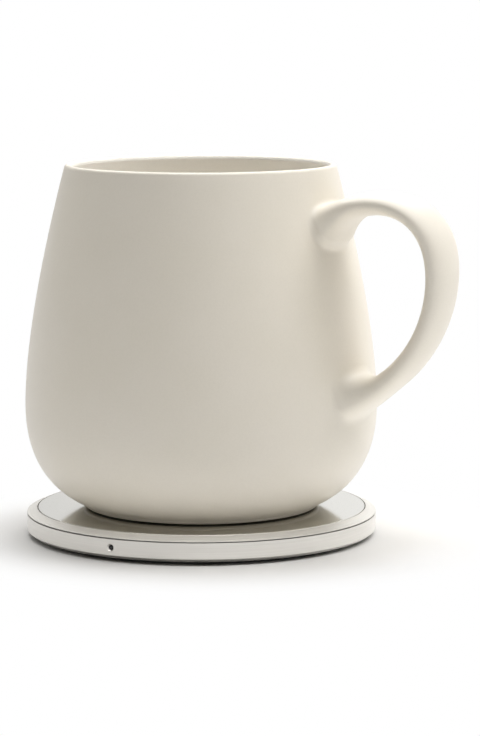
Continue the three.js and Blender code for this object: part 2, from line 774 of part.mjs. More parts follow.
function mugGroup() {
  const mug = new THREE.Group();
  addPiece(mug, 'mug_body', mugBody(), 'ceramic');
  const footRingOutline = ringOutline(
    grooveInnerRadius + fitGap,
    grooveOuterRadius - fitGap,
    0,
    ceramicBottom + grooveDepth - seatGap,
  );
  addPiece(mug, 'foot_ring', turned(footRingOutline), 'silicone');
  const coverRadius = recessRadius - fitGap;
  addPiece(mug, 'base_cover', turned(ringOutline(0, coverRadius, coverBottom, coverTop)), 'plastic');
  const sealBottom = coverTop + seatGap;
  const sealTop = sealBottom + coverSealThick;
  const sealOutline = ringOutline(coverRadius - coverSealWidth, coverRadius, sealBottom, sealTop);
  addPiece(mug, 'cover_seal', turned(sealOutline), 'silicone');

  const coilOutline = roundedRingOutline(
    receiverCoilHoleRadius,
    stackRadius,
    receiverCoilBottom,
    receiverCoilTop,
    receiverCoilRound,
  );
  addPiece(mug, 'receiver_coil', turned(coilOutline, innerSteps), 'copper');
  const shieldOutline = ringOutline(0, stackRadius, shieldBottom, shieldTop);
  addPiece(mug, 'ferrite_shield', turned(shieldOutline, innerSteps), 'ferrite');
  const boardOutline = ringOutline(0, stackRadius, receiverBoardBottom, receiverBoardTop);
  addPiece(mug, 'receiver_board', turned(boardOutline, innerSteps), 'board');
  const rectifierTop = receiverPartSeat + rectifierHeight;
  const rectifier = block(rectifierSide, rectifierSide, receiverPartSeat, rectifierTop);
  addPiece(mug, 'rectifier_chip', placed(rectifier, boardPartCircle, rectifierAngle), 'chip');
  for (let i = 0; i < smoothingCount; i += 1) {
    const top = receiverPartSeat + smoothingHeight;
    const capacitor = block(smoothingLength, smoothingWidth, receiverPartSeat, top);
    const angle = smoothingFirstAngle + smoothingStep * i;
    addPiece(mug, `smoothing_capacitor_${i + 1}`, placed(capacitor, boardPartCircle, angle), 'film');
  }
  addPiece(mug, 'insulation_pad', stackRing(insulationBottom, insulationTop), 'foam');
  addPiece(mug, 'heater_disc', stackRing(heaterBottom, heaterTop), 'film');
  addPiece(mug, 'heat_spreader', stackRing(spreaderBottom, spreaderTop), 'aluminium');
  addPiece(mug, 'temperature_sensor', post(sensorRadius, receiverPartSeat, spreaderTop), 'steel');
  mug.position.z = padHeight + fitGap;
  return mug;
}

const selfHeatingMug = new THREE.Group();
selfHeatingMug.add(padGroup(), mugGroup());

export default selfHeatingMug;
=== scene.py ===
import math
import bmesh
import bpy
import numpy as np
from mathutils import Matrix, Vector


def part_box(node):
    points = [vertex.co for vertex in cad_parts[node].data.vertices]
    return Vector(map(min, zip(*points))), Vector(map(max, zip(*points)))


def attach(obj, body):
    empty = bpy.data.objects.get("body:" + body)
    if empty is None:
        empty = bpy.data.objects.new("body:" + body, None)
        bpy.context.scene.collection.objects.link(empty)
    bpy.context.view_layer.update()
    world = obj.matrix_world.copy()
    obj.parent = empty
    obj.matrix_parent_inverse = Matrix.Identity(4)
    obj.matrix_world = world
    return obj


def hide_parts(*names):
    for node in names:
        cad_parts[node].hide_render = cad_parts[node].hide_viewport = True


# A self heating mug on its round heating pad. Metres, the handle points along +X, the light faces -Y
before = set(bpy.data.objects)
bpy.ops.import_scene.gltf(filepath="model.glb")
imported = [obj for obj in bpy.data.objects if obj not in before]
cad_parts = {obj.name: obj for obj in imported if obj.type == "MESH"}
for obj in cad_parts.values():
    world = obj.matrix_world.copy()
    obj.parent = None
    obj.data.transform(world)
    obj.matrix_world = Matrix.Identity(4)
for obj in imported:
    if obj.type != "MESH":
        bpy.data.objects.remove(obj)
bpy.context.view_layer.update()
mm = 0.001


def level(node):  # lowest and highest point of a frame piece
    low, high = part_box(node)
    return low.z, high.z


def middleOf(node):
    return sum(level(node)) / 2


def radiusOf(node):
    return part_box(node)[1].x


print("frame loaded")

# Camera, placed where the photograph was taken from
camera = {
    "imageWidth": 480,
    "imageHeight": 736,
    "focalPixels": 3013.95,
    "distance": 0.81935,  # from the mug's axis, along the table
    "height": 0.15662,
    "around": 30.0,  # degrees from the front towards the handle
    "aim": 29.255,
    "down": 7.712,
    "roll": -0.069,
    "sensor": 36.0,
    "clip": (0.05, 60.0),
}


def aroundTable(right, back, up=0.0):
    # a place given as the camera sees the table: to its right, away from it, and up
    turn = math.radians(camera["around"])
    x = right * math.cos(turn) - back * math.sin(turn)
    y = right * math.sin(turn) + back * math.cos(turn)
    return Vector((x, y, up))


def makeCamera(c):
    data = bpy.data.cameras.new("camera")
    data.sensor_width = c["sensor"]
    data.lens = c["focalPixels"] * c["sensor"] / max(c["imageWidth"], c["imageHeight"])
    data.clip_start, data.clip_end = c["clip"]
    holder = bpy.data.objects.new("camera", data)
    bpy.context.scene.collection.objects.link(holder)
    aim = Matrix.Rotation(math.radians(c["aim"]), 4, "Z")
    tilt = Matrix.Rotation(math.radians(90 - c["down"]), 4, "X")
    roll = Matrix.Rotation(math.radians(c["roll"]), 4, "Z")
    place = Matrix.Translation(aroundTable(0, -c["distance"], c["height"]))
    holder.matrix_world = place @ aim @ tilt @ roll
    bpy.context.scene.camera = holder


makeCamera(camera)


# Small helpers for node materials

def newMaterial(name):
    material = bpy.data.materials.new(name)
    material.use_nodes = True
    return material, material.node_tree, material.node_tree.nodes["Principled BSDF"]


def fromHex(text):
    # a written colour as linear light
    channels = [int(text[i:i + 2], 16) / 255 for i in (1, 3, 5)]
    return [c / 12.92 if c <= 0.04045 else ((c + 0.055) / 1.055) ** 2.4 for c in channels] + [1.0]


def addNode(tree, kind, inputs=None, **settings):
    # an input is either linked from a socket or set to a value of its own
    node = tree.nodes.new(kind)
    for key, value in settings.items():
        setattr(node, key, value)
    feedNode(tree, node, inputs or {})
    return node


def feedNode(tree, node, inputs):
    for name, value in inputs.items():
        if isinstance(value, bpy.types.NodeSocket):
            tree.links.new(value, node.inputs[name])
        else:
            node.inputs[name].default_value = value


def placeNode(tree, scale=(1, 1, 1)):
    # the piece's own coordinates in metres, stretched
    source = addNode(tree, "ShaderNodeTexCoord").outputs["Object"]
    return addNode(tree, "ShaderNodeMapping", {"Vector": source, "Scale": scale}).outputs["Vector"]


def ringNode(tree, along, across):
    # coordinates that run fast across a turned face and slowly along it
    source = addNode(tree, "ShaderNodeTexCoord").outputs["Object"]
    split = addNode(tree, "ShaderNodeSeparateXYZ", {"Vector": source}).outputs
    flat = {"X": split["X"], "Y": split["Y"]}
    plane = addNode(tree, "ShaderNodeCombineXYZ", flat).outputs["Vector"]
    radius = addNode(tree, "ShaderNodeVectorMath", {0: plane}, operation="LENGTH").outputs["Value"]
    both = addNode(tree, "ShaderNodeMath", {0: radius, 1: split["Z"]}, operation="ADD").outputs["Value"]
    joined = addNode(tree, "ShaderNodeCombineXYZ", {**flat, "Z": both}).outputs["Vector"]
    stretch = {"Vector": joined, "Scale": (along, along, across)}
    return addNode(tree, "ShaderNodeMapping", stretch).outputs["Vector"]


def noiseNode(tree, vector, scale, detail=2.0, roughness=0.5):
    look = {"Vector": vector, "Scale": scale, "Detail": detail, "Roughness": roughness}
    return addNode(tree, "ShaderNodeTexNoise", look).outputs["Fac"]


def rampNode(tree, value, stops):
    # stops are (place, colour); a number as colour is a grey
    stops = list(stops)
    ramp = addNode(tree, "ShaderNodeValToRGB", {"Fac": value})
    points = ramp.color_ramp.elements
    while len(points) < len(stops):
        points.new(0.5)
    for point, (place, colour) in zip(points, stops):
        point.position = place
        point.color = fromHex(colour) if isinstance(colour, str) else (colour, colour, colour, 1)
    return ramp.outputs["Color"]


def mixNode(tree, share, first, second, blend="MIX"):
    inputs = {"Factor": share, "A": first, "B": second}
    return addNode(tree, "ShaderNodeMix", inputs, data_type="RGBA", blend_type=blend).outputs["Result"]


def bumpNode(tree, height, strength, distance, before=None):
    inputs = {"Height": height, "Strength": strength, "Distance": distance}
    if before is not None:
        inputs["Normal"] = before
    return addNode(tree, "ShaderNodeBump", inputs).outputs["Normal"]


def rangeNode(tree, value, middle, stray):
    # spreads 0 to 1 evenly about the middle
    inputs = {"Value": value, "To Min": middle - stray, "To Max": middle + stray}
    return addNode(tree, "ShaderNodeMapRange", inputs).outputs["Result"]


def riseNode(tree, value, start, end, low=0.0):
    # rises softly from low to 1 while the value goes from start to end
    inputs = {"Value": value, "From Min": start, "From Max": end, "To Min": low}
    return addNode(tree, "ShaderNodeMapRange", inputs, interpolation_type="SMOOTHSTEP").outputs["Result"]


def mixShaders(tree, share, first, second):
    inputs = {"Fac": share, 1: first.outputs[0], 2: second.outputs[0]}
    return addNode(tree, "ShaderNodeMixShader", inputs)


# Materials

ceramicLook = {
    "pale": "#e4ddd0",
    "deep": "#e2dbcd",
    "inside": "#fcf8f0",  # painted light: the cup's glaze made near white, standing in for the light inside the cup
    "roughness": 0.425,
    "uneven": 0.045,  # how far the roughness strays
    "specular": 0.5,
    "grain": 0.00002,
    "cloudScale": 45,
    "speckScale": 1900,
    "glossScale": 160,
    "waveScale": 120,
}


def ceramicGlaze(look):
    material, tree, shader = newMaterial("ceramicGlaze")
    here = placeNode(tree)
    clouds = noiseNode(tree, here, look["cloudScale"], 3)
    specks = noiseNode(tree, here, look["speckScale"], 2, 0.6)
    base = rampNode(tree, clouds, [(0.35, look["deep"]), (0.65, look["pale"])])
    fine = rampNode(tree, specks, [(0.3, 0.98), (0.6, 1.0)])
    # painted light: inside the cup the colour turns near white, standing in for the light in the cup
    inside = addNode(tree, "ShaderNodeRGB")
    inside.outputs["Color"].default_value = fromHex(look["inside"])
    cup = addNode(tree, "ShaderNodeAttribute", attribute_name="inside")
    base = mixNode(tree, cup.outputs["Fac"], base, inside.outputs["Color"])
    colour = mixNode(tree, 1.0, base, fine, "MULTIPLY")
    waves = bumpNode(tree, noiseNode(tree, here, look["waveScale"], 1), 0.25, look["grain"])
    gloss = noiseNode(tree, here, look["glossScale"], 3)
    feedNode(tree, shader, {
        "Base Color": colour,
        "Roughness": rangeNode(tree, gloss, look["roughness"], look["uneven"]),
        "Specular IOR Level": look["specular"],
        "Normal": bumpNode(tree, specks, 0.5, look["grain"], waves),
    })
    return material


metalLook = {
    "broadAlong": 0.6,  # the broad streaks' fineness, as shares of the fine ones'
    "broadAcross": 0.2,
    "broadShare": 0.4,
    "toneStops": (0.3, 0.7),
    "uneven": 0.08,  # how far the roughness strays
    "bump": 0.35,
}


def brushedMetal(name, colours, roughness, along, across, depth):
    # metal turned on a lathe: fine streaks that run round the piece
    look = metalLook
    material, tree, shader = newMaterial(name)
    streaks = noiseNode(tree, ringNode(tree, along, across), 1, 3, 0.6)
    wide = ringNode(tree, along * look["broadAlong"], across * look["broadAcross"])
    both = mixNode(tree, look["broadShare"], streaks, noiseNode(tree, wide, 1, 2))
    feedNode(tree, shader, {
        "Base Color": rampNode(tree, both, zip(look["toneStops"], colours)),
        "Roughness": rangeNode(tree, both, roughness, look["uneven"]),
        "Metallic": 1.0,
        "Normal": bumpNode(tree, streaks, look["bump"], depth),
    })
    return material


mouldedLook = {
    "cloudRatio": 12,  # how much wider the clouds are than the grain
    "cloudShare": 0.5,
    "toneStops": (0.3, 0.7),
    "uneven": 0.06,
    "bump": 0.4,
}


def mouldedMaterial(name, colours, roughness, grainScale, depth):
    # plastic, silicone, ferrite, felt or film: two close tones, a grain and uneven gloss
    look = mouldedLook
    material, tree, shader = newMaterial(name)
    here = placeNode(tree)
    grain = noiseNode(tree, here, grainScale, 3, 0.6)
    clouds = noiseNode(tree, here, grainScale / look["cloudRatio"], 2)
    both = mixNode(tree, look["cloudShare"], grain, clouds)
    feedNode(tree, shader, {
        "Base Color": rampNode(tree, both, zip(look["toneStops"], colours)),
        "Roughness": rangeNode(tree, clouds, roughness, look["uneven"]),
        "Normal": bumpNode(tree, grain, look["bump"], depth),
    })
    return material


copperLook = {
    "tones": [(0.1, "#5c2c14"), (0.6, "#b96a3b")],
    "turnScale": 330,
    "wobble": 0.2,
    "roughness": 0.38,
    "depth": 0.0002,
}


def woundCopper(look):
    # enamelled wire in close turns round the coil's middle
    material, tree, shader = newMaterial("woundCopper")
    inputs = {"Vector": placeNode(tree, (1, 1, 0)), "Scale": look["turnScale"], "Distortion": look["wobble"]}
    turns = addNode(tree, "ShaderNodeTexWave", inputs, wave_type="RINGS", rings_direction="Z").outputs["Fac"]
    feedNode(tree, shader, {
        "Base Color": rampNode(tree, turns, look["tones"]),
        "Metallic": 1.0,
        "Roughness": look["roughness"],
        "Normal": bumpNode(tree, turns, 0.6, look["depth"]),
    })
    return material


boardLook = {
    "colours": {"Color1": "#1d5a38", "Color2": "#1a5234", "Mortar": "#2b7148"},
    "cellScale": 260,
    "lineWidth": 0.06,
    "roughness": 0.35,
    "depth": 0.00003,
}


def circuitBoard(look):
    # solder mask with faint copper lines below it
    material, tree, shader = newMaterial("circuitBoard")
    inputs = {"Vector": placeNode(tree), "Scale": look["cellScale"], "Mortar Size": look["lineWidth"]}
    colours = {socket: fromHex(colour) for socket, colour in look["colours"].items()}
    cells = addNode(tree, "ShaderNodeTexBrick", {**inputs, **colours}, offset=0.5)
    feedNode(tree, shader, {
        "Base Color": cells.outputs["Color"],
        "Roughness": look["roughness"],
        "Normal": bumpNode(tree, cells.outputs["Fac"], 0.3, look["depth"]),
    })
    return material


finish = {
    # metals: name, dark and light tone, roughness, fineness along and across the streaks, their depth
    # moulded: name, dark and light tone, roughness, fineness of the grain, its depth
    "ceramic": ceramicGlaze(ceramicLook),
    "wall": brushedMetal("brushedWall", ("#cbc8c2", "#d9d6d0"), 0.36, 45, 9000, 0.00001),
    "bezel": brushedMetal("turnedBezel", ("#cdcbc6", "#dbd9d4"), 0.62, 60, 5200, 0.00001),
    "panel": brushedMetal("satinPanel", ("#dad8d0", "#dedcd5"), 0.1, 30, 2500, 0.000002),
    "base": brushedMetal("turnedBase", ("#b9b8b4", "#cfceca"), 0.4, 50, 3000, 0.00001),
    "steel": brushedMetal("drawnSteel", ("#a3a4a6", "#c3c4c5"), 0.26, 200, 4000, 0.000004),
    "silicone": mouldedMaterial("darkSilicone", ("#242321", "#312f2c"), 0.72, 2200, 0.00002),
    # painted shade: the foot ring's light olive tone stands in for the soft olive shade where the mug meets
    # the pad
    "foot": mouldedMaterial("footSiliconeShadeTint", ("#6a665a", "#777266"), 0.7, 2200, 0.00002),
    "lens": mouldedMaterial("smokedLens", ("#060606", "#0c0c0d"), 0.14, 900, 0.000002),
    "plastic": mouldedMaterial("greyPlastic", ("#454544", "#50504e"), 0.55, 1800, 0.00002),
    "cover": mouldedMaterial("coverPlastic", ("#cbc5b8", "#d5cfc3"), 0.55, 1800, 0.00002),
    "chip": mouldedMaterial("chipResin", ("#161618", "#202022"), 0.5, 2600, 0.00002),
    "ferrite": mouldedMaterial("sinteredFerrite", ("#2b2927", "#3b3835"), 0.75, 1500, 0.00004),
    "felt": mouldedMaterial("needledFelt", ("#c2bcad", "#d8d2c4"), 0.95, 1200, 0.0001),
    "film": mouldedMaterial("amberFilm", ("#b16c24", "#c98636"), 0.3, 700, 0.00001),
    "copper": woundCopper(copperLook),
    "board": circuitBoard(boardLook),
    "gilt": brushedMetal("giltContact", ("#c69a4b", "#dbb56a"), 0.25, 400, 3000, 0.000002),
}
print("materials made")


# Mesh helpers

def newPiece(name, points, faces):
    mesh = bpy.data.meshes.new(name)
    mesh.from_pydata([tuple(p) for p in points], [], [tuple(f) for f in faces])
    work = bmesh.new()
    work.from_mesh(mesh)
    bmesh.ops.recalc_face_normals(work, faces=work.faces)
    work.to_mesh(mesh)
    work.free()
    mesh.shade_smooth()
    piece = bpy.data.objects.new(name, mesh)
    bpy.context.scene.collection.objects.link(piece)
    return piece


def dress(piece, body, slot, material, *nodes):
    # gives a piece its finish, its body and the frame pieces that it stands for
    piece.data.materials.clear()
    piece.data.materials.append(material)
    flat = piece.modifiers.new("flatFaces", "WEIGHTED_NORMAL")
    flat.keep_sharp = True
    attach(piece, body)
    if nodes:
        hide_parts(*nodes)
    return piece


def softOutline(corners, steps=5):
    # an outline of (radius, height, softness); each corner with a softness is rounded
    outline = []
    count = len(corners)
    for i, (x, z, soft) in enumerate(corners):
        here = np.array([x, z])
        if soft <= 0:
            outline.append(here)
            continue
        before = np.array(corners[i - 1][:2]) - here
        after = np.array(corners[(i + 1) % count][:2]) - here
        before /= np.linalg.norm(before)
        after /= np.linalg.norm(after)
        half = math.acos(max(-1.0, min(1.0, float(before @ after)))) / 2
        reach = soft / math.tan(half)
        middle = here + (before + after) / np.linalg.norm(before + after) * soft / math.sin(half)
        first = here + before * reach - middle
        last = here + after * reach - middle
        sweep = math.acos(max(-1.0, min(1.0, float(first @ last) / soft ** 2)))
        for k in range(steps + 1):
            a = math.sin((1 - k / steps) * sweep)
            b = math.sin(k / steps * sweep)
            outline.append(middle + (a * first + b * last) / math.sin(sweep))
    return outline


def turnedPiece(name, outline, segments=256):
    # turns an outline round Z; points on the axis close the piece, else the outline is a loop
    angles = np.arange(segments) * 2 * math.pi / segments
    circle = np.stack([np.cos(angles), np.sin(angles)], 1)
    onAxis = outline[0][0] < 1e-9
    inner = outline[1:-1] if onAxis else outline
    points = []
    for radius, height in inner:
        points.extend(np.column_stack([circle * radius, np.full(segments, height)]))
    rows = len(inner)
    faces = []
    for j in range(rows - 1 if onAxis else rows):
        below = j * segments
        above = ((j + 1) % rows) * segments
        for k in range(segments):
            n = (k + 1) % segments
            faces.append((below + k, below + n, above + n, above + k))
    if onAxis:
        first = len(points)
        points.append((0, 0, outline[0][1]))
        points.append((0, 0, outline[-1][1]))
        top = (rows - 1) * segments
        for k in range(segments):
            n = (k + 1) % segments
            faces.append((first, n, k))
            faces.append((first + 1, top + k, top + n))
    return newPiece(name, points, faces)


def cutWith(piece, tool, sharpFrom=32):
    # takes the tool out of the piece, for good; edges are sharp from this many degrees
    cut = piece.modifiers.new("cut", "BOOLEAN")
    cut.operation = "DIFFERENCE"
    cut.solver = "EXACT"
    cut.object = tool
    bpy.context.view_layer.update()
    shown = piece.evaluated_get(bpy.context.evaluated_depsgraph_get())
    mesh = bpy.data.meshes.new_from_object(shown)
    piece.modifiers.remove(cut)
    piece.data = mesh
    bpy.data.objects.remove(tool)
    mesh.set_sharp_from_angle(angle=math.radians(sharpFrom))
    return piece


def roundedLoop(width, height, corner, steps=8):
    # the rim of a rounded rectangle, as (across, up)
    loop = []
    for i, (sx, sz) in enumerate(((1, 1), (-1, 1), (-1, -1), (1, -1))):
        for k in range(steps + 1):
            angle = math.radians(90 * (i + k / steps))
            x = sx * (width / 2 - corner) + corner * math.cos(angle)
            z = sz * (height / 2 - corner) + corner * math.sin(angle)
            loop.append((x, z))
    return loop


def rimAt(y, middle, width, height, corner):
    # a rounded rectangle for a loft, with its middle at this height
    return y, [(x, middle + z) for x, z in roundedLoop(width, height, corner)]


def circleAt(y, middle, radius, steps):
    turns = np.arange(steps) * 2 * math.pi / steps
    return y, [(radius * math.cos(a), middle + radius * math.sin(a)) for a in turns]


def loftAlongY(name, loops, closed=False):
    # loops are (y, points as (across, up)); open ends are capped, a closed loft bites its tail
    count = len(loops[0][1])
    points = [(x, y, z) for y, loop in loops for x, z in loop]
    faces = []
    for j in range(len(loops) if closed else len(loops) - 1):
        a = j * count
        b = ((j + 1) % len(loops)) * count
        for k in range(count):
            n = (k + 1) % count
            faces.append((a + k, a + n, b + n, b + k))
    if not closed:
        faces.append(tuple(range(count)))
        faces.append(tuple(range((len(loops) - 1) * count, len(loops) * count)))
    return newPiece(name, points, faces)


# The ceramic body with its strap handle, as one fired skin

mugShape = {  # millimetres above the mug's foot and from its axis
    "bellyHeight": 28.0,
    "bellyDrop": 20.4,
    "bellyRise": 19.1,
    "footRadius": 32.4,
    "footTall": 1.0,  # the short upright edge that the belly runs down to
    "footDraft": 0.3,
    "footSlope": 26.0,  # degrees
    "footSweep": 3.4,
    "footLift": 0.16,
    "footRound": 0.8,
    "lipRadius": 37.1,
    "lipThick": 2.2,
    "lipReach": 18.0,
    "lipLean": 14.8,  # degrees
    "wall": 3.8,
    "cupFloor": 12.2,
    "floorThick": 3.5,
    "floorRadius": 25.0,
    "floorReach": 11.0,
    "innerDrop": 17.0,
    "innerRise": 17.0,
    "grooveIn": 28.6,
    "grooveOut": 31.3,
    "grooveDeep": 0.9,
    "recessRadius": 27.6,
    "recessRound": 0.8,
    "edge": 0.25,  # softness of the foot's edges
    "edgeSteps": 3,
    "segments": 240,
    "wallRows": 96,
    "cupRows": 60,
    "lipRows": 11,
    "cupLightRows": 4,  # over how many rows of the lip the painted lighter cup colour fades in
    "skinSteps": 500,  # points of the outer wall that distances are taken from
}

handleShape = {  # millimetres and degrees, heights above the mug's foot
    "apexHeight": 66.9,
    "apexRise": 19.2,
    "apexDrop": 13.7,
    "thick": 6.1,
    "roundness": 2.2,  # of the strap's section: 2 is an ellipse, more is squarer
    "rootRoundness": 2.8,
    "squareLength": 12.0,
    "widths": (15.8, 18.6, 15.6, 12.6, 12.4),
    "widthPlaces": (0.0, 0.25, 0.48, 0.74, 1.0),  # shares of the strap's length, from its top root
    "topHeight": 79.7,
    "topAngle": 31.5,
    "topReach": 19.1,
    "bottomHeight": 32.3,
    "bottomAngle": 16.6,
    "bottomReach": 18.6,
    "rootDepth": 2.0,
    # what each root adds to a face of the strap: how much, over what distance, how softly it ends
    "topFlare": {"side": (1.7, 8.0, 2.0), "outer": (0.3, 9.0, 2.3), "inner": (4.0, 10.0, 1.8)},
    "lowFlare": {"side": (4.2, 12.0, 2.0), "outer": (1.9, 11.0, 1.6), "inner": (5.4, 9.0, 1.7)},
    # how wide each face runs out into the wall
    "topFillet": {"side": 1.6, "outer": 2.0, "inner": 3.0},
    "lowFillet": {"side": 2.0, "outer": 3.0, "inner": 2.0},
    "topPatch": 77.0,  # height of the middle of the body's patch round each root
    "lowPatch": 34.0,
    "rootsAbove": 5.0,  # the wall is searched for the roots from here up
    "widthBlur": 80,  # points of the middle line over which the widths are smoothed, to each side
    "faceSteps": 24,  # mesh steps over the strap's wide face, and over the body beside a root
    "edgeSteps": 20,  # the same over the strap's edge, and up the body
    "rootSteps": 26,
    "strapLoops": 90,
    "searchLoops": 241,  # loops that are tried to find where the strap is clear of the fillets
    "rootGap": 0.2,  # how far clear of them it starts
    "relaxRounds": 14,  # how often a root's mesh is evened, and how much each time
    "relaxShare": 0.6,
}


def bezier(a, b, c, d, steps):
    s = np.linspace(0, 1, steps + 1)[:, None]
    a, b, c, d = (np.array(p, float) for p in (a, b, c, d))
    return (1 - s) ** 3 * a + 3 * s * (1 - s) ** 2 * b + 3 * s ** 2 * (1 - s) * c + s ** 3 * d


def alongLine(line):
    # distance travelled at each point of a line
    return np.concatenate([[0], np.cumsum(np.linalg.norm(np.diff(line, axis=0), axis=1))])


def evened(line, steps):
    # the same line with its points evenly spaced
    travel = alongLine(line)
    places = np.linspace(0, travel[-1], steps + 1)
    return np.stack([np.interp(places, travel, line[:, i]) for i in range(line.shape[1])], 1)


def lipPoints(m, top):
    # the lip's middle, where the outer and the inner wall meet it, and how far they run straight down
    lean = math.radians(m["lipLean"])
    half = m["lipThick"] / 2
    crest = np.array([m["lipRadius"] - half, top - half])
    out = half * np.array([math.cos(lean), math.sin(lean)])
    down = m["lipReach"] * np.array([math.sin(lean), -math.cos(lean)])
    return crest, crest + out, crest - out, down


def outerWall(m, bellyRadius, top, steps=400):
    _, outerLip, _, down = lipPoints(m, top)
    belly = (bellyRadius, m["bellyHeight"])
    slope = math.radians(m["footSlope"])
    foot = np.array([m["footRadius"], m["footTall"]])
    lower = bezier(
        foot,
        foot + m["footSweep"] * np.array([math.cos(slope), math.sin(slope)]),
        (bellyRadius, m["bellyHeight"] - m["bellyDrop"]),
        belly,
        steps,
    )
    upper = bezier(belly, (bellyRadius, m["bellyHeight"] + m["bellyRise"]), outerLip + down, outerLip, steps)
    return np.vstack([lower, upper[1:]])


def innerWall(m, bellyRadius, top, steps=400):
    _, _, innerLip, down = lipPoints(m, top)
    inside = bellyRadius - m["wall"]
    belly = (inside, m["bellyHeight"])
    lower = bezier(
        (m["floorRadius"], m["cupFloor"]),
        (m["floorRadius"] + m["floorReach"], m["cupFloor"]),
        (inside, m["bellyHeight"] - m["innerDrop"]),
        belly,
        steps,
    )
    upper = bezier(belly, (inside, m["bellyHeight"] + m["innerRise"]), innerLip + down, innerLip, steps)
    return np.vstack([lower, upper[1:]])


def strapLine(h, outer, reach, steps=350):
    # the strap's middle line as (distance from the axis, height)
    apex = reach - h["thick"] / 2

    def root(height):
        upper = outer[:, 1] > h["rootsAbove"]
        return np.array([np.interp(height, outer[upper, 1], outer[upper, 0]) - h["rootDepth"], height])

    def ahead(start, length, angle):
        turn = math.radians(angle)
        return start + length * np.array([math.cos(turn), math.sin(turn)])

    top = root(h["topHeight"])
    bottom = root(h["bottomHeight"])
    first = bezier(
        top,
        ahead(top, h["topReach"], h["topAngle"]),
        (apex, h["apexHeight"] + h["apexRise"]),
        (apex, h["apexHeight"]),
        steps,
    )
    second = bezier(
        (apex, h["apexHeight"]),
        (apex, h["apexHeight"] - h["apexDrop"]),
        ahead(bottom, h["bottomReach"], h["bottomAngle"]),
        bottom,
        steps,
    )
    return evened(np.vstack([first, second[1:]]), 2 * steps)


